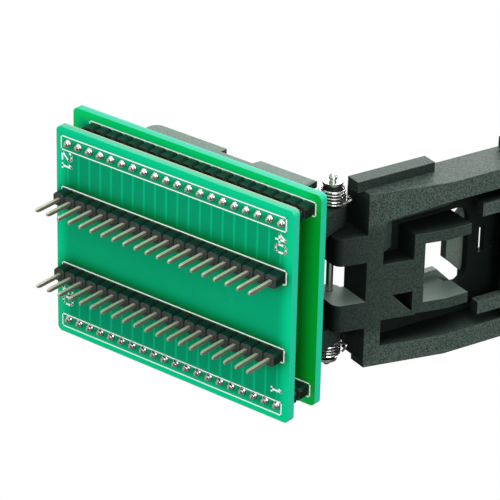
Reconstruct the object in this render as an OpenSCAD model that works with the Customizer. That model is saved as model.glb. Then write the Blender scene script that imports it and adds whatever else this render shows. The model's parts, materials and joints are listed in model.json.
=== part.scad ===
// Clamshell test socket for a quad flat package, on two stacked boards with a 40-pin DIP footprint.
// Origin: centre of the DIP pin field, at the seat of the two header strips. Z points up to the socket.
// The lid stands open, as its springs hold it.

/* [Pins and headers] */
// Distance between neighbouring pins of a row
pin_pitch = 2.54; // [2.2:0.01:2.8]
// Number of pins in each row
pins_per_row = 20; // [16:1:20]
// Distance between the two DIP pin rows
dip_row_spacing = 15.24; // [14:0.01:17]
// Distance between the two outer rows that link the boards
link_row_spacing = 35.56; // [35.5:0.01:36.6]
// Side of a square pin
post_side = 0.64; // [0.5:0.01:0.66]
// Length of the DIP pins under their header
dip_pin_length = 6; // [4:0.1:9]
// Height of a header strip
header_height = 2.54; // [2:0.01:3]
// Width of a header strip
header_width = 2.48; // [2:0.01:2.6]
// Chamfer between the segments of a header strip
header_notch = 0.5; // [0.2:0.05:0.7]
// Diameter of the board holes for the square pins
post_hole = 1; // [0.96:0.01:1.2]
// Diameter of a solder joint on the board
solder_width = 1.7; // [1.3:0.05:2]
// Height of a solder joint
solder_height = 0.62; // [0.3:0.01:0.72]
// Length of the pin stub beyond the board
post_stub = 0.95; // [0.75:0.05:1.2]

/* [Boards] */
// Thickness of each board
board_thickness = 1.6; // [1:0.1:2]
// Clear distance between the two boards
board_gap = 6.2; // [5.6:0.1:8]
// Length of the lower board along the pin rows
lower_board_length = 53.6; // [52:0.1:58]
// Length of the upper board along the pin rows
upper_board_length = 56.3; // [54:0.1:60]
// Width of both boards
board_width = 41.4; // [39:0.1:44]
// How far the upper board's middle lies towards the latch end
upper_board_offset = 1.5; // [0:0.1:2]
// Corner radius of the boards
board_corner = 1; // [0.5:0.1:2]

/* [Socket base] */
// Length of the base
base_length = 36.9; // [36:0.1:39]
// Width of the base and of the lid
socket_width = 34.3; // [34:0.1:34.6]
// Height of the base over its standoff feet
base_height = 7.8; // [7.5:0.1:8]
// Height of the feet that hold the base off the board
base_standoff = 0.8; // [0.75:0.05:1.2]
// Thickness of the base's floor
base_floor = 2.6; // [2.4:0.1:3]
// Thickness of the base's side walls
base_wall = 1.2; // [0.8:0.1:1.6]
// Thickness of the base's end walls
base_end_wall = 2.6; // [2.2:0.1:3]
// Radius of the side walls' upper corner at the latch end
base_shoulder = 2; // [1:0.1:3]
// Length of the notch in the top of each side wall
notch_length = 7.2; // [4:0.1:10]
// Depth of that notch
notch_depth = 1.7; // [1:0.1:2.5]
// Depth of the groove that the latch hooks under
catch_depth = 1.6; // [1.2:0.1:2]

/* [Nest and contacts] */
// Distance of the chip's centre from the hinge axis
chip_reach = 19.3; // [19:0.1:19.6]
// Side of the square chip body
chip_side = 10; // [9.6:0.1:10.2]
// Half width across the chip's lead tips
lead_reach = 6.95; // [6.8:0.01:7]
// Distance between neighbouring contacts
contact_pitch = 0.8; // [0.76:0.01:0.82]
// Number of contacts on each side
contacts_per_side = 11; // [9:1:11]
// Thickness of a contact
contact_thickness = 0.26; // [0.2:0.01:0.3]
// Width of a contact's spring beam
contact_beam = 0.36; // [0.3:0.02:0.4]
// Outer half width of the nest
nest_reach = 9.6; // [9.5:0.1:9.8]

/* [Hinge] */
// Height of the hinge axis over the upper board
hinge_height = 9.7; // [9.6:0.05:9.8]
// Distance of the hinge axis from the end of the base
hinge_overhang = 2.6; // [2.58:0.01:2.7]
// Diameter of the hinge pin
hinge_pin_width = 1.3; // [1.2:0.01:1.5]
// How far the hinge pin stands out of the bosses
hinge_pin_end = 1.8; // [1.8:0.1:2.2]
// Radius of the base's hinge ears
ear_radius = 2.7; // [2.3:0.05:2.75]
// Width of each hinge ear of the base
ear_width = 4; // [3.6:0.1:4.1]
// Room for a hinge spring, from the ear to the side of the base
spring_room = 3.75; // [3.65:0.05:3.85]
// Diameter of the bosses that carry the hinge springs
boss_width = 3.6; // [3.2:0.05:3.7]
// Wire of the hinge springs
spring_wire = 0.45; // [0.35:0.05:0.55]
// Outer diameter of the hinge springs
spring_width = 5; // [4.9:0.05:5.2]
// Angle through which the lid opens
open_angle = 109; // [100:1:112]

/* [Lid] */
// Length from the hinge axis to the lid's free end
lid_length = 39.4; // [39:0.1:39.8]
// Distance of the lid's inner rim over the hinge axis
lid_rim = 2.2; // [2.1:0.05:2.4]
// Distance of the lid's outer face over the hinge axis
lid_top = 10.2; // [9.9:0.1:10.6]
// Distance of the lid's lower edge at the hinge over the hinge axis
lid_hinge_top = 7.1; // [6.8:0.1:7.3]
// Distance of the bend in the outer face from the hinge axis
lid_bend = 18.5; // [16:0.5:20]
// Thickness of the lid's side walls
lid_wall = 3.8; // [3.4:0.1:4]
// Distance of the hinge-end wall from the hinge axis
lid_setback = 3; // [2.95:0.05:3.2]
// Thickness of the hinge-end wall
lid_end_wall = 3; // [2.5:0.1:3.4]
// Thickness of the lid's floor
lid_floor = 1.5; // [1.2:0.1:1.8]
// Width of each of the two hinge knuckles
knuckle_width = 5.3; // [5:0.1:5.6]
// Gap between a knuckle and the ear beside it
knuckle_gap = 0.2; // [0.15:0.05:0.3]
// Radius of the knuckles round the hinge pin
knuckle_radius = 2.3; // [2:0.05:2.35]
// Width of the bars of the window frame
frame_bar = 2.05; // [1.6:0.05:2.3]
// Outer half width of the window frame
frame_reach = 7.9; // [7.6:0.1:8.1]
// Distance of the window frame's closed side from the hinge axis
frame_start = 11.9; // [11.6:0.1:12.2]
// Length of the window frame's bars
frame_length = 11.3; // [10:0.1:12]
// How far the side ledges stand out
ledge_depth = 1.9; // [1.5:0.1:2.1]

/* [Pusher] */
// Outer half width of the pusher's flange
pusher_reach = 9.8; // [9.4:0.1:10]
// Half width of the pusher's window
pusher_window = 4.6; // [4.5:0.1:4.8]
// Thickness of the pusher's plate
pusher_plate = 1.5; // [1.2:0.1:1.7]
// Thickness of a pressing bar
press_bar = 0.9; // [0.7:0.05:1.2]
// Width of the diagonal slots
corner_slot = 2.6; // [2:0.1:3]

/* [Latch] */
// Distance of the latch pin from the hinge axis
latch_reach = 37; // [36.8:0.1:37.2]
// Height of the latch pin over the hinge axis
latch_height = 5.8; // [5.6:0.1:6]
// Diameter of the latch pin
latch_pin_width = 2; // [1.6:0.1:2.2]
// Radius of the latch's hub
latch_hub = 2.4; // [2.1:0.1:2.5]
// Start of the latch's two arms, from the hinge axis
arm_start = 25.6; // [25:0.1:26.5]
// Width of each latch arm
arm_width = 2.5; // [2:0.1:3]
// Outer faces of the latch arms, from the middle
arm_outer = 11.1; // [10.6:0.1:11.6]
// Half width of the hook
hook_reach = 8; // [5:0.5:8.5]
// Wire of the latch spring
latch_wire = 0.4; // [0.3:0.05:0.45]

/* [Hidden] */
$fn = 48;

board_green = [0.05, 0.62, 0.42];
housing_black = [0.16, 0.19, 0.17];
header_black = [0.1, 0.12, 0.11];
pin_gold = [0.82, 0.78, 0.66];
steel = [0.78, 0.78, 0.76];
solder_silver = [0.72, 0.73, 0.72];
contact_gold = [0.85, 0.7, 0.38];

// Small clearances
press_fit = 0.02;
running_fit = 0.06;
play = 0.1;
spring_play = 0.15;
over = 1;

// Heights of the stack
lower_board_z = header_height;
lower_board_top = lower_board_z + board_thickness;
upper_board_z = lower_board_top + board_gap;
upper_board_top = upper_board_z + board_thickness;
base_z = upper_board_top + base_standoff;
base_top = base_z + base_height;
hinge_z = upper_board_top + hinge_height;

// Places along the pin rows. The base's hinge end is one overhang short of the hinge axis.
hinge_x = 20.67;
base_x1 = hinge_x - hinge_overhang;
base_x0 = base_x1 - base_length;
chip_x = hinge_x - chip_reach;

// Places across the hinge, from the middle
half_width = socket_width / 2;
boss_end = half_width + play / 2;
ear_outer = half_width - spring_room;
ear_inner = ear_outer - ear_width;
knuckle_outer = ear_inner - knuckle_gap;
knuckle_inner = knuckle_outer - knuckle_width;
hinge_pin_length = 2 * (boss_end + hinge_pin_end);

// ---- pins, headers and boards ----

function row_x(i) = (i - (pins_per_row - 1) / 2) * pin_pitch;

// Outline of a header strip: one rectangle with a notch between neighbouring segments
function strip_edge(side) = [
    for (i = [0:pins_per_row - 1])
        let (x0 = row_x(i) - pin_pitch / 2, x1 = x0 + pin_pitch)
            each [[x0, side * (header_width / 2 - header_notch)],
                  [x0 + header_notch, side * header_width / 2],
                  [x1 - header_notch, side * header_width / 2],
                  [x1, side * (header_width / 2 - header_notch)]]
];

function reversed(points) = [for (i = [len(points) - 1:-1:0]) points[i]];

module strip(z) {
    translate([0, 0, z])
        linear_extrude(header_height)
            difference() {
                polygon(concat(strip_edge(-1), reversed(strip_edge(1))));
                for (i = [0:pins_per_row - 1])
                    translate([row_x(i), 0])
                        square(post_side, center = true);
            }
}

// Side view of a square pin whose ends taper to two thirds of its side
module post_profile(z0, z1) {
    half = post_side / 2;
    point = post_side / 3;
    polygon([[-point, z0], [point, z0], [half, z0 + post_side], [half, z1 - post_side / 2],
             [point, z1], [-point, z1], [-half, z1 - post_side / 2], [-half, z0 + post_side]]);
}

module post(z0, z1) {
    intersection() {
        rotate([90, 0, 0])
            linear_extrude(post_side, center = true)
                post_profile(z0, z1);
        rotate([90, 0, 90])
            linear_extrude(post_side, center = true)
                post_profile(z0, z1);
    }
}

module post_row(z0, z1) {
    color(pin_gold)
        for (i = [0:pins_per_row - 1])
            translate([row_x(i), 0, 0])
                post(z0, z1);
}

// Solder joints with their foot at z, rising along direction 1 or -1
module solder_row(z, direction) {
    foot = solder_width / 2;
    neck = post_hole / 2;
    color(solder_silver)
        for (i = [0:pins_per_row - 1])
            translate([row_x(i), 0, z])
                scale([1, 1, direction])
                    difference() {
                        rotate_extrude()
                            polygon([[0, 0], [foot, 0], [(foot + neck) / 2, solder_height / 3],
                                     [neck, solder_height], [0, solder_height]]);
                        cube([post_side, post_side, 4 * solder_height], center = true);
                    }
}

module board_plate(length, x, z) {
    translate([x, 0, z])
        linear_extrude(board_thickness)
            difference() {
                square([length, board_width], center = true);
                for (sx = [-1, 1], sy = [-1, 1])
                    translate([sx * length / 2, sy * board_width / 2])
                        difference() {
                            square(2 * board_corner, center = true);
                            translate([-sx * board_corner, -sy * board_corner])
                                circle(board_corner);
                        }
            }
}

module post_holes(row_spacing, z) {
    for (side = [-1, 1], i = [0:pins_per_row - 1])
        translate([row_x(i), side * row_spacing / 2, z - over])
            cylinder(d = post_hole, h = board_thickness + 2 * over);
}

module lower_board() {
    color(board_green)
        difference() {
            board_plate(lower_board_length, 0, lower_board_z);
            post_holes(dip_row_spacing, lower_board_z);
            post_holes(link_row_spacing, lower_board_z);
        }
}

module upper_board() {
    color(board_green)
        difference() {
            board_plate(upper_board_length, -upper_board_offset, upper_board_z);
            post_holes(link_row_spacing, upper_board_z);
            all_contacts()
                translate([tail_reach($index) - contact_hole / 2, -contact_hole / 2, upper_board_z - over])
                    cube([contact_hole, contact_hole, board_thickness + 2 * over]);
            for (peg = [-1, 1])
                translate([peg_x(peg), peg * peg_y, upper_board_z - over])
                    cylinder(r = peg_radius + running_fit, h = board_thickness + 2 * over);
        }
}

module at_row(spacing, side) {
    translate([0, side * spacing / 2, 0])
        children();
}

module dip_header(side) {
    color(header_black)
        at_row(dip_row_spacing, side)
            strip(0);
}

module dip_pins(side) {
    at_row(dip_row_spacing, side)
        post_row(-dip_pin_length, lower_board_top + post_stub);
}

module dip_solder(side) {
    at_row(dip_row_spacing, side)
        solder_row(lower_board_top, 1);
}

module link_header(side) {
    color(header_black)
        at_row(link_row_spacing, side)
            strip(upper_board_z - header_height);
}

module link_spacer(side) {
    color(header_black)
        at_row(link_row_spacing, side)
            strip(lower_board_top);
}

module link_pins(side) {
    at_row(link_row_spacing, side)
        post_row(lower_board_z - post_stub, upper_board_top + post_stub);
}

module link_solder_lower(side) {
    at_row(link_row_spacing, side)
        solder_row(lower_board_z, -1);
}

module link_solder_upper(side) {
    at_row(link_row_spacing, side)
        solder_row(upper_board_top, 1);
}

// ---- nest and contacts ----

// Height of the contact tips, and of the pressing face one lead thickness above them
lead_thickness = 0.2;
press_face = -1.5;
tip_z = hinge_z + press_face - lead_thickness;
// Nest: the chip's well, the comb round it and the fence that centres the lead tips
well_reach = chip_side / 2 + 0.2;
well_depth = 1.2;
fence_reach = lead_reach + 0.4;
comb_start = well_reach + 0.35;
comb_end = nest_reach - 0.7;
comb_slot = contact_thickness + 2 * 0.1;
// Contact tails stand in two staggered rows
tail_near = 7.2;
tail_far = 8.5;
tail_side = 0.34;
contact_hole = 0.5;
tail_stub = 0.8;
foot_reach = lead_reach - 0.7;
tip_rise = 0.4;
tip_width = 0.6;

function tail_reach(i) = i % 2 == 0 ? tail_far : tail_near;

// Children are drawn once for each contact of one side, with +X pointing away from the chip
module contact_side(turn) {
    translate([chip_x, 0, 0])
        rotate(turn)
            for ($index = [0:contacts_per_side - 1])
                translate([0, ($index - (contacts_per_side - 1) / 2) * contact_pitch, 0])
                    children();
}

module all_contacts() {
    for (turn = [0:90:270])
        contact_side(turn)
            children();
}

// A flat spring: a tail through the board, a bow that bends outwards and a tip that carries the lead
module contact(tail) {
    arm_z = base_z + base_floor;
    crown_z = tip_z - tip_rise;
    bow = (crown_z - arm_z) / 2;
    bow_x = comb_end - spring_play - bow;
    rotate([90, 0, 0])
        linear_extrude(contact_thickness, center = true) {
            translate([tail - tail_side / 2, upper_board_z - tail_stub])
                square([tail_side, arm_z + contact_beam - upper_board_z + tail_stub]);
            translate([min(tail, bow_x), arm_z])
                square([max(abs(tail - bow_x), tail_side / 2), contact_beam]);
            translate([bow_x, arm_z + bow])
                difference() {
                    circle(bow);
                    circle(bow - contact_beam);
                    translate([-4 * bow, -2 * bow])
                        square(4 * bow);
                }
            translate([foot_reach, crown_z - contact_beam])
                square([bow_x - foot_reach, contact_beam]);
            translate([foot_reach, crown_z - contact_beam])
                square([tip_width, tip_rise + contact_beam]);
        }
}

module contact_row(turn) {
    color(contact_gold)
        contact_side(turn)
            contact(tail_reach($index));
}

// ---- socket base ----

peg_radius = 0.9;
peg_y = 13;
function peg_x(side) = chip_x + side * 13;
shelf_z = hinge_z - spring_width / 2 - 0.08;
boss_tip = boss_width - 0.6;
boss_taper = 1.3;

// Draws its 2-D child, which lies in the X-Z plane, from y0 to y1
module along_y(y0, y1) {
    translate([0, y1, 0])
        rotate([90, 0, 0])
            linear_extrude(y1 - y0)
                children();
}

module both_sides() {
    children();
    mirror([0, 1, 0])
        children();
}

// Side wall: a rounded upper corner at the latch end, and a notch with one sloping end
module side_wall_profile() {
    notch_x0 = chip_x - notch_length / 2;
    notch_x1 = chip_x + notch_length / 2;
    difference() {
        translate([base_x0, base_z])
            square([base_length, base_height]);
        translate([base_x0, base_top])
            difference() {
                square(2 * base_shoulder, center = true);
                translate([base_shoulder, -base_shoulder])
                    circle(base_shoulder);
            }
        polygon([[notch_x0, base_top + over], [notch_x0, base_top - notch_depth],
                 [notch_x1, base_top - notch_depth], [notch_x1 + notch_depth / 2, base_top + over]]);
    }
}

module ear_profile() {
    translate([hinge_x, hinge_z])
        circle(ear_radius);
    polygon([[base_x1 - base_end_wall, base_z], [hinge_x, base_z],
             [hinge_x + ear_radius, base_z + ear_radius], [hinge_x + ear_radius, hinge_z],
             [hinge_x, hinge_z], [hinge_x - ear_radius, base_top],
             [base_x1 - base_end_wall, base_top]]);
}

module hinge_axis_y(y) {
    translate([hinge_x, y, hinge_z])
        rotate([-90, 0, 0])
            children();
}

module spring_boss() {
    hinge_axis_y(ear_outer) {
        cylinder(d = boss_width, h = boss_end - ear_outer - boss_taper);
        translate([0, 0, boss_end - ear_outer - boss_taper])
            cylinder(d1 = boss_width, d2 = boss_tip, h = boss_taper);
    }
}

module base_shell() {
    half = half_width;
    translate([base_x0, -half, base_z])
        cube([base_length, socket_width, base_floor]);
    both_sides() {
        along_y(half - base_wall, half)
            side_wall_profile();
        // Shelf that the hinge spring's leg rests on
        translate([base_x1 - 2 * base_end_wall, ear_outer, base_z])
            cube([2 * base_end_wall, half - ear_outer, shelf_z - base_z]);
        along_y(ear_inner, ear_outer)
            ear_profile();
        spring_boss();
    }
    // End walls between the side walls
    translate([base_x0, -half, base_z])
        cube([base_end_wall, socket_width, base_height - base_shoulder]);
    translate([base_x0, -ear_outer, base_z])
        cube([base_end_wall, 2 * ear_outer, base_height]);
    translate([base_x1 - base_end_wall, -ear_outer, base_z])
        cube([base_end_wall, 2 * ear_outer, base_height]);
    // Nest block, tied to both end walls by ribs
    translate([chip_x - nest_reach, -nest_reach, base_z])
        cube([2 * nest_reach, 2 * nest_reach, base_height]);
    for (side = [-1, 1])
        translate([base_x0, side * nest_reach * 0.6 - base_wall / 2, base_z])
            cube([base_length, base_wall, base_height - notch_depth]);
    // Feet and locating pegs
    both_sides()
        for (side = [-1, 1])
            translate([peg_x(side), peg_y, upper_board_top])
                cylinder(r = 2 * peg_radius, h = base_standoff + base_floor / 2);
    for (peg = [-1, 1])
        translate([peg_x(peg), peg * peg_y, upper_board_z])
            cylinder(r = peg_radius, h = board_thickness + base_standoff);
}

// The groove's upper face slopes so that the hook swings clear of it
module catch_groove() {
    lip_z = hinge_z - 5.15;
    along_y(-hook_reach - 1, hook_reach + 1)
        polygon([[base_x0 - over, base_z - over], [base_x0 + catch_depth, base_z - over],
                 [base_x0 + catch_depth, lip_z], [base_x0, lip_z + catch_depth / 4],
                 [base_x0 - over, lip_z + catch_depth / 4]]);
}

module socket_base() {
    color(housing_black)
        difference() {
            base_shell();
            // Chip well, lead fence and contact comb
            translate([chip_x - fence_reach, -fence_reach, tip_z - 0.05])
                cube([2 * fence_reach, 2 * fence_reach, base_height]);
            translate([chip_x - well_reach, -well_reach, tip_z - well_depth])
                cube([2 * well_reach, 2 * well_reach, base_height]);
            all_contacts()
                translate([comb_start, -comb_slot / 2, base_z - over])
                    cube([comb_end - comb_start, comb_slot, base_height + 2 * over]);
            catch_groove();
            hinge_axis_y(-boss_end - over)
                cylinder(r = hinge_pin_width / 2 + press_fit, h = 2 * (boss_end + over));
        }
}

// ---- hinge hardware ----

clip_thickness = 0.5;
clip_width = 3.7;

// Both ends of the pin are peened over into round heads
module hinge_pin() {
    head = hinge_pin_width / 2 + 0.12;
    straight = hinge_pin_length - 2 * head;
    color(steel)
        hinge_axis_y(-straight / 2) {
            cylinder(d = hinge_pin_width, h = straight);
            sphere(r = head);
            translate([0, 0, straight])
                sphere(r = head);
        }
}

// Retaining clip: a ring that is open on one side
module hinge_clip() {
    mouth = hinge_pin_width * 0.7;
    color(steel)
        hinge_axis_y(boss_end + play / 2)
            difference() {
                cylinder(d = clip_width, h = clip_thickness);
                translate([0, 0, -over])
                    cylinder(r = hinge_pin_width / 2 + press_fit, h = clip_thickness + 2 * over);
                translate([-mouth / 2, -clip_width, -over])
                    cube([mouth, clip_width, clip_thickness + 2 * over]);
            }
}

function unit(v) = v / norm(v);
function along(path, i) =
    unit(path[min(i + 1, len(path) - 1)] - path[max(i - 1, 0)]);
function upright(v, axis) = unit(v - (v * axis) * axis);

// Side vectors carried along a path without twist
function side_vectors(path, start) = [
    for (i = 0, side = upright(start, along(path, 0));
         i < len(path);
         i = i + 1, side = i < len(path) ? upright(side, along(path, i)) : side)
        side
];

// Round wire along a path of points
module wire(path, diameter, start) {
    sides = 8;
    rings = len(path);
    across = side_vectors(path, start);
    points = [
        for (i = [0:rings - 1], s = [0:sides - 1])
            let (angle = 360 * s / sides, up = cross(along(path, i), across[i]))
                path[i] + diameter / 2 * (cos(angle) * across[i] + sin(angle) * up)
    ];
    faces = concat(
        [[for (s = [0:sides - 1]) s]],
        [for (i = [0:rings - 2], s = [0:sides - 1])
            let (a = i * sides + s, b = i * sides + (s + 1) % sides)
                [a, a + sides, b + sides, b]],
        [[for (s = [sides - 1:-1:0]) (rings - 1) * sides + s]]
    );
    polyhedron(points, faces, convexity = 8);
}

// Points in the X-Z plane round an axis, moving along Y
function coil(radius, from, to, y0, y1, step) = [
    for (angle = [from:step:to])
        [radius * cos(angle), y0 + (y1 - y0) * (angle - from) / (to - from), radius * sin(angle)]
];

function bow(p0, p1, p2, steps) = [
    for (i = [1:steps])
        let (t = i / steps)
            (1 - t) * (1 - t) * p0 + 2 * t * (1 - t) * p1 + t * t * p2
];

full_turn = 360;
spring_turns = 5;
coil_gap = 0.15;
coil_steps = 84;
ear_gap = 0.22;
wall_gap = 0.3;
hinge_play = 0.3;
base_leg = 5;
hook_lead = 0.7;
hook_length = 3.2;
hook_side = 1.6;
hook_lift = 0.5;
hook_steps = 9;

// Torsion spring at the far end: one leg lies on the base, the hooked leg lifts the lid
module hinge_spring() {
    radius = (spring_width - spring_wire) / 2;
    pitch = spring_wire + coil_gap;
    turn_start = 270;
    turn_end = full_turn * spring_turns - open_angle + 90;
    y_in = ear_outer + ear_gap + spring_wire / 2;
    y_out = y_in + pitch * (turn_end - turn_start) / full_turn;
    // The leg is cranked inwards to clear the side wall
    leg_y = half_width - base_wall - wall_gap - spring_wire / 2;
    // Directions along the lid and out of it, seen from the hinge axis
    lid_u = [-cos(open_angle), 0, sin(open_angle)];
    lid_w = [sin(open_angle), 0, cos(open_angle)];
    lift = radius * lid_w + [0, y_in, 0] + hook_lead * lid_u;
    path = concat(
        [[-base_leg, leg_y, -radius], [hinge_play - hinge_overhang, leg_y, -radius]],
        coil(radius, turn_start, turn_end, y_out, y_in, (turn_end - turn_start) / coil_steps),
        [lift],
        bow(lift, lift + hook_length * lid_u + hook_side / 3 * [0, 1, 0],
            lift + hook_lead * lid_u + hook_side * [0, 1, 0] + hook_lift * lid_w, hook_steps)
    );
    color(steel)
        translate([hinge_x, 0, hinge_z])
            wire(path, spring_wire, [0, 0, 1]);
}

// ---- lid, drawn shut with X towards the latch, then opened ----

lid_bay = half_width - lid_wall;
floor_top = lid_rim + lid_floor;
end_wall_in = lid_setback + lid_end_wall;
apron_low = 0.2;
rim_chamfer = 1.1;
// The floor is thinner under the latch's hub
floor_end = latch_reach - 3.6;
sill = 0.9;
deck_start = latch_reach - 5.2;
deck_low = lid_top - 1.9;
lug_length = 1.6;
lug_reach = lid_bay - 1.15;
lug_low = lid_top - 0.8;
ledge_low = lid_rim - 0.1;
ledge_height = 3.1;

// Puts what is drawn from the hinge axis, X towards the latch and Z out of the lid, in its open place
module on_lid() {
    translate([hinge_x, 0, hinge_z])
        rotate([0, open_angle, 0])
            mirror([1, 0, 0])
                children();
}

module lid_profile() {
    nose = 1.5;
    polygon([[lid_setback + rim_chamfer, lid_rim], [lid_setback, lid_rim + rim_chamfer],
             [lid_setback, lid_hinge_top], [lid_bend, lid_top],
             [lid_length - nose, lid_top], [lid_length, lid_top - nose], [lid_length, lid_rim]]);
}

// Knuckle: a barrel round the pin, a block out to the lid's face and a heel that stops the lid
module knuckle_profile() {
    heel = hinge_overhang - play;
    toe = 2.7;
    round = 1.7;
    slope = (lid_top - lid_hinge_top) / (lid_bend - lid_setback);
    brow = lid_hinge_top - slope * (lid_setback + toe - round) - round;
    stop = [cos(open_angle) * heel, -sin(open_angle) * heel];
    stop_along = [-sin(open_angle), -cos(open_angle)];
    circle(knuckle_radius);
    translate([round - toe, brow])
        circle(round);
    polygon([[end_wall_in, lid_rim], [lid_setback, lid_hinge_top], [round - toe, brow + round],
             [round - toe, 0], [knuckle_radius, 0], [lid_setback, apron_low], [end_wall_in, apron_low]]);
    polygon([[-toe, brow], [-toe, stop[1] + (stop[0] + toe) * stop_along[1] / -stop_along[0]],
             stop, [0, 0], [0, brow]]);
}

// Bar with its top at the lid's outer face
module lid_block(u0, u1, v0, v1, w0) {
    intersection() {
        along_y(v0, v1)
            lid_profile();
        translate([u0, v0, w0])
            cube([u1 - u0, v1 - v0, lid_top]);
    }
}

module window_frame() {
    inner = frame_reach - frame_bar;
    frame_end = frame_start + frame_length;
    lid_block(frame_start, frame_start + frame_bar, -frame_reach, frame_reach, lid_rim);
    both_sides()
        lid_block(frame_start, frame_end, inner, frame_reach, lid_rim);
    // Bridge from the hinge-end wall to the frame
    lid_block(end_wall_in - over / 2, frame_start + over / 2, -3, 3.3, lid_rim);
    // Corner web on the far side, with its three-sided recess
    difference() {
        lid_block(end_wall_in - over / 2, frame_start + over / 2, 3, frame_reach + 0.2, lid_rim);
        translate([0, 0, floor_top])
            linear_extrude(lid_top)
                polygon([[8, 3.4], [frame_start, 3.3], [frame_start, 7.4]]);
    }
}

step_end = 8.2;
step_side = 5.6;
step_low = floor_top + 3.1;

// The near recess rises to the rim in a ramp up to the bend
module recess_ramp() {
    intersection() {
        along_y(-lid_bay - over / 2, -frame_reach)
            lid_profile();
        translate([end_wall_in, 0, 0])
            rotate([90, 0, 90])
                linear_extrude(lid_bend + over - end_wall_in)
                    polygon([[-lid_bay - over / 2, floor_top], [-lid_bay - over / 2, lid_top],
                             [-lid_bay, lid_top], [-frame_reach - over, floor_top + over],
                             [-frame_reach - over, floor_top]]);
    }
    // Step with a sloping brow, which narrows the near recess beside the hinge-end wall
    intersection() {
        along_y(-lid_bay - over / 2, -step_side)
            lid_profile();
        along_y(-half_width, 0)
            polygon([[end_wall_in - over / 2, floor_top - over / 2], [step_end, floor_top - over / 2],
                     [step_end, step_low], [end_wall_in, step_low + over],
                     [end_wall_in - over / 2, lid_top]]);
    }
}

module side_ledge(u0, u1) {
    translate([u0, -half_width - ledge_depth, ledge_low])
        cube([u1 - u0, ledge_depth + play, ledge_height]);
}

module lid_knuckles() {
    both_sides()
        along_y(knuckle_inner, knuckle_outer)
            knuckle_profile();
}

module lid_shell() {
    difference() {
        along_y(-half_width, half_width)
            lid_profile();
        // Bay between the side walls, open at the latch end
        translate([end_wall_in, -lid_bay, floor_top])
            cube([lid_length, 2 * lid_bay, lid_top]);
        translate([floor_end, -lid_bay, lid_rim + sill])
            cube([lid_length, 2 * lid_bay, lid_top]);
    }
    // Apron under the hinge-end wall
    translate([lid_setback, -half_width + over, apron_low])
        cube([lid_end_wall, socket_width - 2 * over, floor_top - apron_low]);
    window_frame();
    recess_ramp();
    side_ledge(1.7, 18.1);
    side_ledge(lid_length - 5, lid_length - 1.4);
    lid_knuckles();
    // Lugs that stop the latch's deck
    both_sides()
        translate([deck_start - play, lug_reach, lug_low])
            cube([lug_length, lid_bay - lug_reach + over / 2, lid_top - lug_low]);
}

slit_half = 2.5;
stake_radius = 0.6;
stake_length = 3;
function stake_places() = [for (su = [-1, 1], sv = [-1, 1])
    [chip_reach + su * 3.6 - 1, sv * (frame_reach - frame_bar / 2)]];

// Wide end of the window, with rounded corners towards the latch
module window_bay(start, end, reach) {
    corner = 3;
    deep = floor_top + over;
    translate([start, -reach, 0])
        cube([end - corner - start, 2 * reach, deep]);
    translate([start, corner - reach, 0])
        cube([end - start, 2 * (reach - corner), deep]);
    both_sides()
        translate([end - corner, reach - corner, 0])
            cylinder(r = corner, h = deep);
}

module lid() {
    opening = frame_reach - frame_bar;
    opening_start = frame_start + frame_bar;
    bars_end = frame_start + frame_length;
    slit_start = chip_reach + pusher_reach + 0.9;
    slit = 1.4;
    color(housing_black)
        on_lid()
            difference() {
                lid_shell();
                // Window through the floor
                translate([opening_start, -opening, 0])
                    cube([bars_end - opening_start + over, 2 * opening, floor_top + over]);
                window_bay(bars_end, chip_reach + frame_reach + 0.4, frame_reach - play);
                // Short slit beyond the window
                translate([slit_start, -slit_half, 0])
                    cube([slit, 2 * slit_half, floor_top + over]);
                for (place = stake_places())
                    translate([place[0], place[1], 0])
                        cylinder(r = stake_radius + press_fit, h = lid_rim + stake_length);
                rotate([90, 0, 0])
                    cylinder(r = hinge_pin_width / 2 + running_fit, h = socket_width + 4, center = true);
                translate([latch_reach, 0, latch_height])
                    rotate([90, 0, 0])
                        cylinder(r = latch_pin_width / 2 + press_fit, h = socket_width + 4, center = true);
            }
}

// ---- pusher ----

module pusher() {
    plate_z = lid_rim - pusher_plate;
    flange = pusher_plate / 3;
    boss_reach = frame_reach + 0.4;
    slot_reach = boss_reach + 0.2;
    bar_in = lead_reach + 0.1 - press_bar;
    bar_length = contacts_per_side * contact_pitch + press_bar / 2;
    through = 4 * pusher_reach;
    color(housing_black)
        on_lid()
            difference() {
                union() {
                    translate([chip_reach - pusher_reach, -pusher_reach, plate_z])
                        cube([2 * pusher_reach, 2 * pusher_reach, flange]);
                    translate([chip_reach - boss_reach, -boss_reach, plate_z])
                        cube([2 * boss_reach, 2 * boss_reach, pusher_plate]);
                    for (turn = [0:90:270])
                        translate([chip_reach, 0, press_face])
                            rotate(turn)
                                translate([bar_in, -bar_length / 2, 0])
                                    cube([press_bar, bar_length, plate_z - press_face + flange / 2]);
                    for (place = stake_places())
                        translate([place[0], place[1], plate_z])
                            cylinder(r = stake_radius, h = lid_rim - plate_z + stake_length - play);
                }
                translate([chip_reach, 0, 0]) {
                    cube([2 * pusher_window, 2 * pusher_window, through], center = true);
                    for (turn = [45, 135])
                        intersection() {
                            rotate(turn)
                                cube([through, corner_slot, through], center = true);
                            cube([2 * slot_reach, 2 * slot_reach, through], center = true);
                        }
                }
            }
}

// ---- latch ----

latch_half = lid_bay - 0.4;
hook_in = lid_length + 0.5;
hook_out = hook_in + 1.6;
spring_gap = 2.4;
lug_play = 0.06;
lug_sweep = 1.3;

module latch_profile() {
    nose = 1.5;
    translate([latch_reach, latch_height])
        circle(latch_hub);
    polygon([[deck_start, deck_low], [deck_start, lid_top], [hook_out - nose, lid_top],
             [hook_out, lid_top - nose], [hook_out, latch_height], [latch_reach, latch_height],
             [latch_reach - latch_hub, latch_height + 0.4], [latch_reach - latch_hub, deck_low]]);
}

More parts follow.
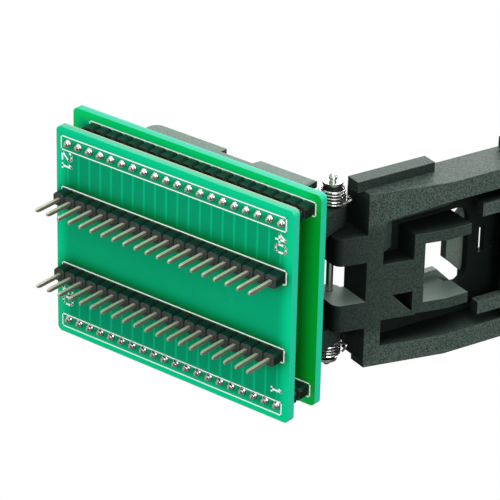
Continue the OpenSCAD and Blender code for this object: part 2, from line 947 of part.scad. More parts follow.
module hook_profile() {
    bite = 1.2;
    nose_top = -5.5;
    nose_tip = -6.2;
    polygon([[hook_in, latch_height], [hook_out, latch_height], [hook_out, nose_tip - bite],
             [hook_in + 0.3, nose_tip - bite], [hook_in - bite, nose_tip], [hook_in - bite, nose_top],
             [hook_in, nose_top + bite / 4]]);
}

module latch() {
    ridge = 0.7;
    color(housing_black)
        on_lid()
            difference() {
                union() {
                    along_y(-latch_half, latch_half)
                        latch_profile();
                    along_y(-hook_reach, hook_reach)
                        hook_profile();
                    both_sides()
                        translate([arm_start, arm_outer - arm_width, deck_low])
                            cube([deck_start - arm_start + over, arm_width, lid_top - deck_low]);
                }
                // Grip grooves across the thumb deck
                for (i = [0:3])
                    translate([deck_start + 1 + 2 * i * ridge, -latch_half + 2, lid_top - ridge / 2])
                        cube([ridge, 2 * latch_half - 4, ridge]);
                // Corners that rest under the lid's lugs
                both_sides()
                    translate([deck_start - over, lug_reach - play, lug_low - lug_play])
                        cube([lug_length + over + lug_sweep, lid_bay, lid_top]);
                // Room for the spring round the pin
                translate([0, -spring_gap, -over])
                    cube([latch_reach + latch_hub + 0.2, 2 * spring_gap, deck_low + over]);
                translate([latch_reach, 0, latch_height])
                    rotate([90, 0, 0])
                        cylinder(r = latch_pin_width / 2 + running_fit, h = socket_width, center = true);
            }
}

module latch_pin() {
    color(steel)
        on_lid()
            translate([latch_reach, 0, latch_height])
                rotate([90, 0, 0])
                    cylinder(d = latch_pin_width, h = socket_width - 0.4, center = true);
}

coil_step = 22.5;
latch_coil_gap = 0.02;

// Torsion spring round the latch pin: one leg on the cross bar, one under the thumb deck
module latch_spring() {
    radius = deck_low - latch_height - spring_play - latch_wire / 2;
    low_radius = latch_height - floor_top - play - latch_wire / 2;
    turns = 4.5;
    span = (latch_wire + latch_coil_gap) * turns;
    leg_end = latch_reach - floor_end + 1;
    leg_bend = latch_reach - floor_end - 0.5;
    path = concat(
        [[-leg_end, -span / 2, radius], [-radius, -span / 2, radius]],
        reversed(coil(radius, 90 - full_turn * turns, 90, span / 2, -span / 2, coil_step)),
        [[-leg_bend + 1, span / 2, -radius], [-leg_bend, span / 2, -low_radius],
         [-leg_end, span / 2, -low_radius]]
    );
    color(steel)
        on_lid()
            translate([latch_reach, 0, latch_height])
                wire(path, latch_wire, [0, 1, 0]);
}

lower_board();
upper_board();
dip_header(-1);  // dip_header_near
dip_header(1);  // dip_header_far
dip_pins(-1);  // dip_pins_near
dip_pins(1);  // dip_pins_far
dip_solder(-1);  // dip_solder_near
dip_solder(1);  // dip_solder_far
link_header(-1);  // link_header_near
link_header(1);  // link_header_far
link_spacer(-1);  // link_spacer_near
link_spacer(1);  // link_spacer_far
link_pins(-1);  // link_pins_near
link_pins(1);  // link_pins_far
link_solder_lower(-1);  // link_solder_lower_near
link_solder_lower(1);  // link_solder_lower_far
link_solder_upper(-1);  // link_solder_upper_near
link_solder_upper(1);  // link_solder_upper_far
socket_base();
contact_row(180);  // contacts_latch_side
contact_row(0);  // contacts_hinge_side
contact_row(270);  // contacts_near
contact_row(90);  // contacts_far
hinge_pin();
mirror([0, 1, 0]) hinge_clip();  // hinge_clip_near
hinge_clip();  // hinge_clip_far
mirror([0, 1, 0]) hinge_spring();  // hinge_spring_near
hinge_spring();  // hinge_spring_far
lid();
pusher();
latch();
latch_pin();
latch_spring();
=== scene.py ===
"""Looks of the clamshell test socket: materials, printed marks and the studio."""

import json
import math

import bpy
from mathutils import Matrix, Vector


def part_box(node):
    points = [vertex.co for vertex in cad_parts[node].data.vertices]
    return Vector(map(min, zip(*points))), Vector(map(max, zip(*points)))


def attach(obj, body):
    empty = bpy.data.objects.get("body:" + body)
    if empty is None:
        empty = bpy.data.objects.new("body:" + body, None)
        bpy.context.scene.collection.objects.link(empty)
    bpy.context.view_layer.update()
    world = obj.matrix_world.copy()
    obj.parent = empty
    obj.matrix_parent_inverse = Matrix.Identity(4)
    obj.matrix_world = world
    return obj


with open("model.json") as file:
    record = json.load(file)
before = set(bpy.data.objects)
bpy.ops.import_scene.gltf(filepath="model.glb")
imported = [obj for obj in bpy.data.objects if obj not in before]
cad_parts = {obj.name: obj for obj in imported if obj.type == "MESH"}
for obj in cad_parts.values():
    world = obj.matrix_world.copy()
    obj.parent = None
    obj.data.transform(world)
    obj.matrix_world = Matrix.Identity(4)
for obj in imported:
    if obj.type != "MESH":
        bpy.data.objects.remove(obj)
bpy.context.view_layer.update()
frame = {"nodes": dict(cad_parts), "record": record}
MM = 0.001
PITCH = 2.54 * MM


# ---------------------------------------------------------------- node helpers


class Shader:
    """A node material whose parts are built by short calls."""

    def __init__(self, name):
        self.mat = bpy.data.materials.new(name)
        self.mat.use_nodes = True
        self.tree = self.mat.node_tree
        self.tree.nodes.clear()
        self.out = self.tree.nodes.new("ShaderNodeOutputMaterial")
        self.bsdf = self.tree.nodes.new("ShaderNodeBsdfPrincipled")
        self.tree.links.new(self.bsdf.outputs[0], self.out.inputs["Surface"])
        texture = self.tree.nodes.new("ShaderNodeTexCoord")
        self.coords = texture.outputs["Object"]
        self.facing = texture.outputs["Normal"]

    def put(self, socket, value):
        """Links a socket's value, or sets a constant."""
        if isinstance(value, bpy.types.NodeSocket):
            self.tree.links.new(value, socket)
        elif socket.type == "RGBA" and len(value) == 3:
            socket.default_value = (*value, 1)
        else:
            socket.default_value = value

    def set(self, **values):
        for key, value in values.items():
            self.put(self.bsdf.inputs[key.replace("_", " ")], value)

    def math(self, operation, *args):
        n = self.tree.nodes.new("ShaderNodeMath")
        n.operation = operation
        for socket, value in zip(n.inputs, args):
            self.put(socket, value)
        return n.outputs[0]

    def times(self, a, b):
        return self.math("MULTIPLY", a, b)

    def less(self, a, b):
        return self.math("SUBTRACT", a, b)

    def size(self, value):
        return self.math("ABSOLUTE", value)

    def vector_math(self, operation, a, b):
        n = self.tree.nodes.new("ShaderNodeVectorMath")
        n.operation = operation
        self.put(n.inputs[0], a)
        self.put(n.inputs[1], b)
        return n.outputs["Value" if operation == "DOT_PRODUCT" else "Vector"]

    def xyz(self, vector=None):
        n = self.tree.nodes.new("ShaderNodeSeparateXYZ")
        self.put(n.inputs[0], vector or self.coords)
        return n.outputs

    def mix(self, factor, a, b):
        n = self.tree.nodes.new("ShaderNodeMix")
        n.data_type = "RGBA"
        self.put(n.inputs[0], factor)
        self.put(n.inputs[6], a)
        self.put(n.inputs[7], b)
        return n.outputs[2]

    def ramp(self, value, low, high, to_low=0.0, to_high=1.0):
        """Runs smoothly from to_low to to_high while the value goes from low to high."""
        n = self.tree.nodes.new("ShaderNodeMapRange")
        n.interpolation_type = "SMOOTHSTEP"
        self.put(n.inputs["Value"], value)
        self.put(n.inputs["From Min"], low)
        self.put(n.inputs["From Max"], high)
        self.put(n.inputs["To Min"], to_low)
        self.put(n.inputs["To Max"], to_high)
        return n.outputs[0]

    def noise(self, scale, detail=3.0, roughness=0.55, vector=None):
        n = self.tree.nodes.new("ShaderNodeTexNoise")
        self.put(n.inputs["Vector"], vector or self.coords)
        self.put(n.inputs["Scale"], scale)
        self.put(n.inputs["Detail"], detail)
        self.put(n.inputs["Roughness"], roughness)
        return n.outputs["Fac"]

    def bump(self, height, distance, strength=1.0, normal=None):
        n = self.tree.nodes.new("ShaderNodeBump")
        self.put(n.inputs["Strength"], strength)
        self.put(n.inputs["Distance"], distance)
        self.put(n.inputs["Height"], height)
        if normal:
            self.put(n.inputs["Normal"], normal)
        return n.outputs[0]

    def bevel(self, radius):
        n = self.tree.nodes.new("ShaderNodeBevel")
        n.samples = 6
        self.put(n.inputs["Radius"], radius)
        return n.outputs[0]

    def edge(self, bevel):
        """1 along sharp edges, 0 on flat faces."""
        flat = self.tree.nodes.new("ShaderNodeNewGeometry").outputs["Normal"]
        return self.ramp(self.vector_math("DOT_PRODUCT", bevel, flat), 0.6, 0.98, 1.0, 0.0)

    def occlusion(self, distance):
        """1 in the open, towards 0 where other surfaces stand within this distance."""
        n = self.tree.nodes.new("ShaderNodeAmbientOcclusion")
        n.samples = 8
        self.put(n.inputs["Distance"], distance)
        return n.outputs["AO"]

    def between(self, value, centre, half, soft):
        """1 where |value - centre| < half, with soft sides."""
        away = self.size(self.less(value, centre))
        return self.ramp(away, half - soft, half + soft, 1.0, 0.0)

    def pitch_step(self, x):
        """Runs from 0 to 1 over each pitch of the pins, with 0.5 at a pin."""
        return self.math("FRACT", self.math("DIVIDE", x, PITCH))


def brighter(colour, factor):
    return [min(1, factor * c) for c in colour]


# ---------------------------------------------------------------- circuit boards


# Copper traces run between each row of DIP pins and the link pins beside it
TRACE_ROW = 13.0 * MM
TRACE_REACH = 3.6 * MM
TRACE_END = 24.8 * MM
TRACE_SOFT = 0.1 * MM
TRACE_END_SOFT = 0.2 * MM
# As shares of the pitch
TRACE_HALF = 0.085
TRACE_BLUR = 0.03
# Painted rim glow: full within the first distance of the edge, gone past the second
RIM_START = 0.3 * MM
RIM_END = 3.2 * MM
LAMINATE_SHOWS = 0.45 * MM

MASK_DARK = (0.0, 0.33, 0.15)
MASK_LIGHT = (0.0, 0.385, 0.17)
MASK_IN_FIELD = (0.0, 0.28, 0.13)
MASK_ON_TRACE = (0.0, 0.48, 0.22)
# Painted shade: the mask's colour where other parts stand close
MASK_IN_SHADE = (0.0, 0.11, 0.004)
# Painted yellower glow at the upper board's hinge end
MASK_PAINTED_GLOW_AT_HINGE_END = (0.0, 0.4, 0.03)
CUT_DARK = (0.005, 0.33, 0.19)
CUT_LIGHT = (0.02, 0.42, 0.26)


def inside(s, value, low, high):
    """How far a point is from the nearer of two ends."""
    return s.less((high - low) / 2, s.size(s.less(value, (high + low) / 2)))


def traced_mask(s, x, y, cloud):
    """Solder mask, darker between the traces and lighter over each of them."""
    mask = s.mix(cloud, MASK_DARK, MASK_LIGHT)
    across = s.between(s.size(y), TRACE_ROW, TRACE_REACH, TRACE_SOFT)
    along = s.between(s.size(x), 0.0, TRACE_END, TRACE_END_SOFT)
    field = s.times(across, along)
    line = s.between(s.pitch_step(x), 0.5, TRACE_HALF, TRACE_BLUR)
    mask = s.mix(s.times(field, 0.8), mask, MASK_IN_FIELD)
    return s.mix(s.times(s.times(field, line), 0.8), mask, MASK_ON_TRACE)


def lower_painted_light(s, mask, x, y, low, high, look):
    """A painted brighter rim glow all round, and painted shade round the headers."""
    rim = s.math("MINIMUM", inside(s, x, low.x, high.x), inside(s, y, low.y, high.y))
    # Painted glow along the rim
    mask = s.mix(s.ramp(rim, RIM_START, RIM_END, 1.0, 0.0), mask, look["rim"])
    # Painted shade from occlusion round the headers and pins
    wide = s.ramp(s.occlusion(look["shade_reach"]), 0.4, 0.97)
    narrow = s.ramp(s.occlusion(3.2 * MM), 0.5, 0.97, 0.25, 1.0)
    return s.mix(s.times(wide, narrow), MASK_IN_SHADE, mask)


def upper_painted_light(s, mask, x, y, low, high, look):
    """A painted brighter rim glow on three sides and a yellower painted glow at the hinge end, over
    deep painted shade.
    """
    rim = s.math("MINIMUM", s.less(x, low.x), inside(s, y, low.y, high.y))
    # Painted glow along the rim
    mask = s.mix(s.ramp(rim, RIM_START, RIM_END, 1.0, 0.0), mask, look["rim"])
    # Painted shade from occlusion, kept off the rim
    wide = s.ramp(s.occlusion(look["shade_reach"]), 0.4, 0.97)
    at_rim = s.ramp(rim, 2.6 * MM, 3.6 * MM, 1.0, 0.0)
    mask = s.mix(s.math("MAXIMUM", wide, at_rim), MASK_IN_SHADE, mask)
    # Painted yellower glow near the hinge end
    hinge_end_glow = s.ramp(s.less(high.x, x), 0.5 * MM, 4.5 * MM, 0.85, 0.0)
    return s.mix(hinge_end_glow, mask, MASK_PAINTED_GLOW_AT_HINGE_END)


BOARD_LOOKS = {
    "lower_board": {
        "light": lower_painted_light,
        # Colour of the painted rim glow
        "rim": (0.0, 0.58, 0.26),
        # Reach of the painted shade
        "shade_reach": 7 * MM,
        "cut": (0.24, 0.29, 0.19),
    },
    "upper_board": {
        "light": upper_painted_light,
        # Colour of the painted rim glow
        "rim": (0.0, 0.62, 0.15),
        # Reach of the painted shade
        "shade_reach": 13 * MM,
        "cut": (0.07, 0.4, 0.28),
    },
}


def board_material(node):
    """Solder mask over copper traces, with bare laminate on the cut edges."""
    look = BOARD_LOOKS[node]
    low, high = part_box(node)
    s = Shader(node + "_mask")
    x, y, z = s.xyz()
    cloud = s.noise(120.0, 2.0)
    face = look["light"](s, traced_mask(s, x, y, cloud), x, y, low, high, look)
    facing = s.xyz(s.facing)
    cut_side = s.math("LESS_THAN", s.size(facing[2]), 0.5)
    long_side = s.math("GREATER_THAN", s.size(facing[1]), 0.5)
    weave = s.noise(2600.0, 2.0, vector=s.vector_math("MULTIPLY", s.coords, (1, 1, 4)))
    laminate = s.mix(weave, CUT_DARK, CUT_LIGHT)
    # The paler laminate shows along the top of the long cut edges
    top = s.ramp(z, high.z - LAMINATE_SHOWS - 0.1 * MM, high.z - LAMINATE_SHOWS + 0.1 * MM)
    bare = s.times(long_side, s.math("MULTIPLY_ADD", top, 0.8, 0.1))
    laminate = s.mix(bare, laminate, look["cut"])
    gloss = s.math("MULTIPLY_ADD", cloud, 0.1, 0.2)
    s.set(
        Base_Color=s.mix(cut_side, face, laminate),
        Roughness=s.math("ADD", s.times(cut_side, 0.35), gloss),
        Specular_IOR_Level=0.2,
        Specular_Tint=(0.2, 1.0, 0.7),
        Normal=s.bump(s.noise(500.0, 2.0), 0.01 * MM, 0.4, s.bevel(0.12 * MM)),
    )
    return s.mat


# ---------------------------------------------------------------- headers and metals


BLACK = (0.001, 0.002, 0.002)


def header_material():
    """Dark moulded blocks: sides painted dark green as a reflection of the green board, paler grey
    ends, paler edges as wear and painted highlight, dark seams, and painted shade in hollows.
    """
    s = Shader("header_plastic")
    grain = s.noise(7000.0, 3.0)
    bevel = s.bevel(0.1 * MM)
    # Sides painted dark green, a painted reflection of the green board
    tone = s.mix(s.noise(2500.0, 4.0, 0.7), (0.0, 0.009, 0.006), (0.002, 0.03, 0.02))
    end = s.ramp(s.size(s.xyz(s.facing)[2]), 0.5, 0.8)
    end_tone = s.mix(s.ramp(grain, 0.35, 0.65), (0.012, 0.019, 0.017), (0.064, 0.084, 0.077))
    tone = s.mix(end, tone, end_tone)
    # Paler along sharp edges: edge wear and a painted highlight
    tone = s.mix(s.times(s.edge(bevel), 0.4), tone, (0.07, 0.08, 0.073))
    from_pin = s.size(s.less(s.pitch_step(s.xyz()[0]), 0.5))
    seam = s.times(s.ramp(from_pin, 0.42, 0.46), 0.9)
    # Painted shade in hollows, from occlusion
    hollow_shade = s.ramp(s.occlusion(3 * MM), 0.3, 0.75, 0.9, 0.0)
    s.set(
        Base_Color=s.mix(s.math("MAXIMUM", seam, hollow_shade), tone, BLACK),
        Roughness=s.math("MULTIPLY_ADD", grain, 0.2, 0.25),
        Specular_IOR_Level=0.25,
        Normal=s.bump(grain, 0.012 * MM, 0.5, bevel),
    )
    return s.mat


def metal(name, low, high, roughness, streak, stretch=(1, 1, 1), bevel=0.06, metallic=1.0, flank_shade=0.0):
    """Metal whose colour and roughness vary along fine streaks, with painted shade on the faces across
    X.
    """
    s = Shader(name)
    grain = s.noise(streak, 4.0, 0.6, s.vector_math("MULTIPLY", s.coords, stretch))
    colour = s.mix(s.noise(700.0, 2.0), low, high)
    if flank_shade:
        # Painted shade: faces across X are darkened
        flank = s.ramp(s.size(s.xyz(s.facing)[0]), 0.1, 0.75, 0.0, flank_shade)
        colour = s.mix(flank, colour, brighter(low, 0.12))
    s.set(
        Base_Color=colour,
        Metallic=metallic,
        Roughness=s.math("MULTIPLY_ADD", grain, 0.16, roughness),
        Normal=s.bump(grain, 0.004 * MM, 0.5, s.bevel(bevel * MM)),
    )
    return s.mat


# ---------------------------------------------------------------- socket plastic


# Pairs give where a change of tone starts and ends
DARKER_MIDDLE_HALF = (9.3 * MM, 12 * MM)
# Painted shade round the hinge ears starts here
EAR_START = (17.2 * MM, 17.6 * MM)
# Painted light on the base's long sides beyond this distance
OUTER_SIDE = 14 * MM
# Painted light on the inward faces by the lid's window
WINDOW_SIDE = 4.5 * MM
WINDOW_SOFT = 1.5 * MM
# Painted shade deep inside the lid and on the front of its ledges
LID_INNER_HALF = 16 * MM
LEDGE_START = 17.2 * MM
LID_DEEP = (4.6 * MM, 8.4 * MM)

LID_JOINT = frame["record"]["behaviour"]["joints"][0]
OPEN_ANGLE = math.radians(-min(LID_JOINT["range_deg"]))
LID_OUTWARD = (math.sin(OPEN_ANGLE), 0, math.cos(OPEN_ANGLE))


def lid_unshaded_share(s):
    """Below 1, for painted shade, deep inside the lid and on the front of its ledges."""
    from_hinge = s.vector_math("SUBTRACT", s.coords, LID_JOINT["pos_m"])
    height = s.vector_math("DOT_PRODUCT", from_hinge, LID_OUTWARD)
    frontal = s.vector_math("DOT_PRODUCT", s.facing, LID_OUTWARD)
    y = s.size(s.xyz()[1])
    within = s.math("LESS_THAN", y, LID_INNER_HALF)
    # Painted shade deep inside
    deep = s.times(within, s.ramp(height, *LID_DEEP, 0.93, 0.0))
    on_ledge = s.math("GREATER_THAN", y, LEDGE_START)
    # Painted shade on the front of the ledges
    ledge = s.times(on_ledge, s.ramp(frontal, 0.5, 0.8, 0.0, 0.7))
    return s.less(1.0, s.math("MAXIMUM", deep, ledge))


def lid_tones(s, tone, unshaded_share, light, grain):
    """The lid: painted shade inside, with inward faces in the window painted paler as light."""
    unshaded_share = s.times(unshaded_share, lid_unshaded_share(s))
    y = s.xyz()[1]
    inward = s.times(s.xyz(s.facing)[1], s.math("SIGN", y))
    near_window = s.between(s.size(y), WINDOW_SIDE, WINDOW_SOFT, 0.1 * MM)
    # Painted light on the inward faces by the window
    sill_light = s.times(s.math("LESS_THAN", inward, -0.5), near_window)
    tone = s.mix(sill_light, tone, brighter(light, 1.3))
    return tone, s.math("MAXIMUM", unshaded_share, s.times(sill_light, 0.9))


def base_tones(s, tone, unshaded_share, light, grain):
    """The base: painted shade round the hinge ears, and painted light on the outside of its two long
    sides.
    """
    x, y, z = s.xyz()
    # Painted shade round the hinge ears
    unshaded_share = s.times(unshaded_share, s.ramp(x, *EAR_START, 1.0, 0.45))
    along = s.math("GREATER_THAN", s.size(s.xyz(s.facing)[1]), 0.5)
    # Painted light on the long sides
    long_side_light = s.times(along, s.math("GREATER_THAN", s.size(y), OUTER_SIDE))
    tone = s.mix(s.times(long_side_light, s.ramp(grain, 0.3, 0.6, 0.5, 1.0)), tone, brighter(light, 1.7))
    return tone, unshaded_share


def moulded(name, tones, roughness=0.5, grain_depth=0.03, darker_middle=0.0, adjust=None):
    """Spark-eroded plastic: fine grain, paler edges as wear and painted highlight, painted shade in
    hollows and on undersides, and a darker middle.
    """
    dark, light, shade = tones
    s = Shader(name)
    grain = s.noise(3300.0, 5.0, 0.8)
    bevel = s.bevel(0.16 * MM)
    tone = s.mix(s.ramp(grain, 0.4, 0.6), dark, light)
    # Darker over the middle of the width
    tone = s.mix(s.ramp(s.size(s.xyz()[1]), *DARKER_MIDDLE_HALF, darker_middle, 0.0), tone, dark)
    tone = s.mix(s.times(s.noise(300.0, 2.0), 0.35), tone, dark)
    # Paler along sharp edges: edge wear and a painted highlight
    tone = s.mix(s.times(s.edge(bevel), 0.5), tone, brighter(light, 1.7))
    # Painted shade on faces turned down, and in hollows from occlusion
    underside_shade = s.ramp(s.xyz(s.facing)[2], -0.92, -0.5, 0.3, 1.0)
    unshaded_share = s.times(s.ramp(s.occlusion(12 * MM), 0.2, 0.7), underside_shade)
    if adjust:
        tone, unshaded_share = adjust(s, tone, unshaded_share, light, grain)
    s.set(
        Base_Color=s.mix(unshaded_share, shade, tone),
        Roughness=s.math("MULTIPLY_ADD", grain, 0.25, roughness),
        Specular_IOR_Level=0.2,
        Specular_Tint=(0.75, 1.0, 0.9),
        Normal=s.bump(grain, grain_depth * MM, 0.8, bevel),
    )
    return s.mat


def ink_material():
    s = Shader("silkscreen_ink")
    speck = s.noise(3000.0, 2.0)
    s.set(
        Base_Color=s.mix(speck, (0.82, 1.0, 0.95), (0.95, 1.0, 1.0)),
        Roughness=0.55,
        Normal=s.bump(speck, 0.01 * MM, 0.5),
    )
    return s.mat


# ---------------------------------------------------------------- which node has which material


# Dark grain, light grain, and the painted shade colour in the deepest hollows
SOCKET_TONES = ((0.008, 0.014, 0.0115), (0.08, 0.108, 0.093), (0.001, 0.002, 0.002))
# Paler tones for the pusher, partly painted light where its plate is lit through the lid's window
PUSHER_TONES_PAINTED_LIT = ((0.085, 0.108, 0.092), (0.13, 0.165, 0.142), (0.01, 0.014, 0.012))

SLOT_MATERIALS = {
    "header_plastic": header_material(),
    # Pins and solder carry painted shade on their faces across X
    "pin_plating": metal(
        "pin_plating", (0.5, 0.48, 0.36), (0.7, 0.68, 0.54), 0.25, 1500.0,
        stretch=(4, 4, 0.4), metallic=0.6, flank_shade=0.75,
    ),
    "solder": metal(
        "solder", (0.74, 0.73, 0.75), (0.95, 0.93, 0.96), 0.1, 900.0, bevel=0.25, flank_shade=0.5,
    ),
    "socket_plastic": moulded("socket_plastic", SOCKET_TONES),
    "pusher_plastic": moulded("pusher_plastic", PUSHER_TONES_PAINTED_LIT, roughness=0.4, grain_depth=0.012),
    "contact_plating": metal("contact_plating", (0.8, 0.58, 0.24), (0.92, 0.72, 0.36), 0.18, 2500.0),
    "steel": metal("steel", (0.4, 0.4, 0.39), (0.65, 0.65, 0.63), 0.16, 1800.0, stretch=(1, 6, 1)),
    # Near-black latch spring: a dark finish, made as dark as the shade round it
    "spring_steel": metal("spring_steel", (0.02, 0.021, 0.02), (0.05, 0.052, 0.05), 0.35, 1800.0),
}
NODE_MATERIALS = {
    "lower_board": board_material("lower_board"),
    "upper_board": board_material("upper_board"),
    "socket_base": moulded("base_plastic", SOCKET_TONES, adjust=base_tones),
    "lid": moulded("lid_plastic", SOCKET_TONES, darker_middle=0.6, adjust=lid_tones),
}
INK = ink_material()

for entry in frame["record"]["subparts"]:
    name = entry["node"]
    mesh = frame["nodes"][name].data
    mesh.materials.clear()
    mesh.materials.append(NODE_MATERIALS.get(name) or SLOT_MATERIALS[entry["material_slot"]])


# ---------------------------------------------------------------- printed marks


INK_DEPTH = 0.02 * MM
LINE = 0.22 * MM
DIGIT_LINE = 0.36 * MM
DIGIT_HEIGHT = 2.15 * MM
# Strokes of the pin numbers on a grid 4 wide and 6 high, upwards
DIGIT_ROWS = 6
DIGIT_ADVANCE = 5.6
DIGITS = {
    "0": [[(1, 0), (3, 0), (4, 1), (4, 5), (3, 6), (1, 6), (0, 5), (0, 1), (1, 0)]],
    "1": [[(1, 4.8), (2, 6), (2, 0)], [(1, 0), (3, 0)]],
    "2": [[(0, 5), (1, 6), (3, 6), (4, 5), (4, 4), (0, 0), (4, 0)]],
    "4": [[(3, 0), (3, 6), (0, 2), (4, 2)]],
}


class Print:
    """Flat ink marks sunk into a board's lower face, so that they add nothing to its height."""

    def __init__(self, face):
        self.face = face
        self.vertices = []
        self.faces = []

    def stroke(self, a, b, width):
        """A straight line from a to b with square ends."""
        a, b = Vector(a), Vector(b)
        along = (b - a).normalized() * width / 2
        across = Vector((-along.y, along.x))
        self.plate([a - along - across, b + along - across, b + along + across, a - along + across])

    def plate(self, corners):
        first = len(self.vertices)
        n = len(corners)
        for z in (self.face - INK_DEPTH, self.face):
            self.vertices += [(x, y, z) for x, y in corners]
        self.faces.append([first + i for i in reversed(range(n))])
        self.faces.append([first + n + i for i in range(n)])
        for i in range(n):
            j = (i + 1) % n
            self.faces.append([first + i, first + j, first + n + j, first + n + i])

    def frame_round(self, x0, y0, x1, y1):
        corners = [(x0, y0), (x1, y0), (x1, y1), (x0, y1)]
        for a, b in zip(corners, corners[1:] + corners[:1]):
            self.stroke(a, b, LINE)

    def number(self, text, x, y):
        """Digits read along +Y, with their tops towards +X."""
        unit = DIGIT_HEIGHT / DIGIT_ROWS
        for place, digit in enumerate(text):
            for path in DIGITS[digit]:
                points = [(x + v * unit, y + (place * DIGIT_ADVANCE + u) * unit) for u, v in path]
                for a, b in zip(points, points[1:]):
                    self.stroke(a, b, DIGIT_LINE)

    def finish(self, name):
        mesh = bpy.data.meshes.new(name)
        mesh.from_pydata(self.vertices, [], self.faces)
        mesh.materials.append(INK)
        mesh.validate()
        obj = bpy.data.objects.new(name, mesh)
        bpy.context.scene.collection.objects.link(obj)
        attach(obj, "base")


# Places are set in from the lower board's edges
low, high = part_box("lower_board")
marks = Print(low.z)
row_left = low.x + 1.15 * MM
row_right = high.x - 1.6 * MM
marks.frame_round(row_left, low.y + 4.35 * MM, row_right, low.y + 1.7 * MM)
marks.frame_round(row_left, high.y - 3.7 * MM, row_right, high.y - 1.2 * MM)
for header in ("dip_header_near", "dip_header_far"):
    a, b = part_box(header)
    marks.frame_round(a.x - 0.2 * MM, a.y - 0.1 * MM, b.x + 0.1 * MM, b.y + 0.1 * MM)
marks.number("21", low.x + 1.4 * MM, low.y + 4.8 * MM)
marks.number("40", high.x - 3.7 * MM, low.y + 5.1 * MM)
marks.number("20", low.x + 1.4 * MM, high.y - 9.4 * MM)
marks.number("1", high.x - 3.8 * MM, high.y - 6.5 * MM)
marks.finish("silkscreen_lower")

marks = Print(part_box("upper_board")[0].z)
for header in ("link_header_near", "link_header_far"):
    a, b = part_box(header)
    marks.frame_round(a.x - 0.3 * MM, a.y - 0.08 * MM, b.x + 0.1 * MM, b.y + 0.1 * MM)
marks.finish("silkscreen_upper")


# ---------------------------------------------------------------- camera and lamps


CAMERA_RIGHT = Vector((0.7831, -0.0204, 0.6216))
CAMERA_UP = Vector((-0.2982, -0.8894, 0.3465))
CAMERA_BACK = Vector((0.5458, -0.4567, -0.7026))
CAMERA_PLACE = Vector((303.2, -249.5, -365.2)) * MM

camera_data = bpy.data.cameras.new("camera")
camera_data.lens = 219.41
camera_data.sensor_width = 36
camera_data.clip_start = 0.01
camera_data.dof.use_dof = False
camera = bpy.data.objects.new("camera", camera_data)
turn = Matrix((CAMERA_RIGHT, CAMERA_UP, CAMERA_BACK)).transposed()
camera.matrix_world = Matrix.Translation(CAMERA_PLACE) @ turn.to_4x4()
bpy.context.scene.collection.objects.link(camera)
bpy.context.scene.camera = camera

LAMPS_AIM = Vector((0.01, 0, 0.02))


def area_light(name, direction, distance, size, power):
    """A round lamp that stands in this direction from the part and faces it."""
    data = bpy.data.lights.new(name, "AREA")
    data.shape = "DISK"
    data.size = size
    data.energy = power
    light = bpy.data.objects.new(name, data)
    place = Matrix.Translation(LAMPS_AIM + direction.normalized() * distance)
    light.matrix_world = place @ direction.to_track_quat("Z", "Y").to_matrix().to_4x4()
    bpy.context.scene.collection.objects.link(light)


area_light("key", CAMERA_UP * 0.9 + CAMERA_BACK * 0.6 + CAMERA_RIGHT * 0.1, 0.5, 0.3, 1.2)
area_light("fill", CAMERA_BACK + CAMERA_RIGHT * 0.3 - CAMERA_UP * 0.1, 0.6, 0.35, 2.6)
area_light("rim", CAMERA_RIGHT + CAMERA_UP * 0.3 - CAMERA_BACK * 0.2, 0.5, 0.25, 1.0)
area_light("top", Vector((-0.4, -0.4, 1.0)), 0.5, 0.3, 2.2)


# ---------------------------------------------------------------- room


# White where the camera sees it. Everything else is lit by a room that is brighter on one side,
# which gives metal its dark lines.
ROOM_BRIGHT_SIDE = (CAMERA_UP * 0.6 + CAMERA_BACK * 0.7 - CAMERA_RIGHT * 0.1).normalized()
ROOM_DIM = 0.12
ROOM_BRIGHT = 0.95

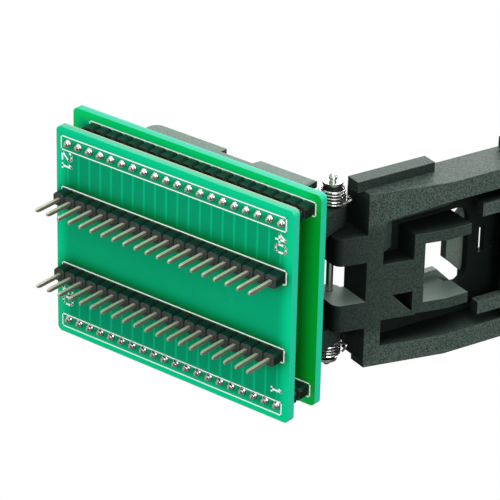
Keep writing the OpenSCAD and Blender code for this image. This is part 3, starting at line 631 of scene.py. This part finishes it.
world = bpy.data.worlds.new("studio")
bpy.context.scene.world = world
world.use_nodes = True
room = world.node_tree
room.nodes.clear()
shown = room.nodes.new("ShaderNodeBackground")
shown.inputs["Strength"].default_value = 1.0
ambient = room.nodes.new("ShaderNodeBackground")
for background in (shown, ambient):
    background.inputs["Color"].default_value = (1, 1, 1, 1)
direction = room.nodes.new("ShaderNodeTexCoord").outputs["Generated"]
side = room.nodes.new("ShaderNodeVectorMath")
side.operation = "DOT_PRODUCT"
side.inputs[1].default_value = ROOM_BRIGHT_SIDE
level = room.nodes.new("ShaderNodeMapRange")
level.interpolation_type = "SMOOTHSTEP"
level.inputs["From Min"].default_value = -0.5
level.inputs["From Max"].default_value = 0.6
level.inputs["To Min"].default_value = ROOM_DIM
level.inputs["To Max"].default_value = ROOM_BRIGHT
room.links.new(direction, side.inputs[0])
room.links.new(side.outputs["Value"], level.inputs["Value"])
room.links.new(level.outputs[0], ambient.inputs["Strength"])
ray = room.nodes.new("ShaderNodeLightPath")
mixer = room.nodes.new("ShaderNodeMixShader")
world_out = room.nodes.new("ShaderNodeOutputWorld")
room.links.new(ray.outputs["Is Camera Ray"], mixer.inputs[0])
room.links.new(ambient.outputs[0], mixer.inputs[1])
room.links.new(shown.outputs[0], mixer.inputs[2])
room.links.new(mixer.outputs[0], world_out.inputs["Surface"])
bpy.context.scene.view_settings.view_transform = "Standard"

# The floor lies at the pin tips and is see-through from below, where the photo's view comes from
FLOOR_REACH = 0.6
floor_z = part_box("dip_pins_near")[0].z
corners = [(-1, -1), (1, -1), (1, 1), (-1, 1)]
mesh = bpy.data.meshes.new("floor")
mesh.from_pydata([(x * FLOOR_REACH, y * FLOOR_REACH, floor_z) for x, y in corners], [], [[0, 1, 2, 3]])
floor = bpy.data.objects.new("floor", mesh)
bpy.context.scene.collection.objects.link(floor)
paper = Shader("floor_paper")
paper.set(Base_Color=(0.86, 0.86, 0.86), Roughness=0.9)
below = paper.tree.nodes.new("ShaderNodeNewGeometry").outputs["Backfacing"]
clear = paper.tree.nodes.new("ShaderNodeBsdfTransparent")
choose = paper.tree.nodes.new("ShaderNodeMixShader")
paper.tree.links.new(below, choose.inputs[0])
paper.tree.links.new(paper.bsdf.outputs[0], choose.inputs[1])
paper.tree.links.new(clear.outputs[0], choose.inputs[2])
paper.tree.links.new(choose.outputs[0], paper.out.inputs["Surface"])
mesh.materials.append(paper.mat)
floor.visible_diffuse = False
floor.visible_glossy = False
floor.visible_transmission = False
floor.visible_shadow = False
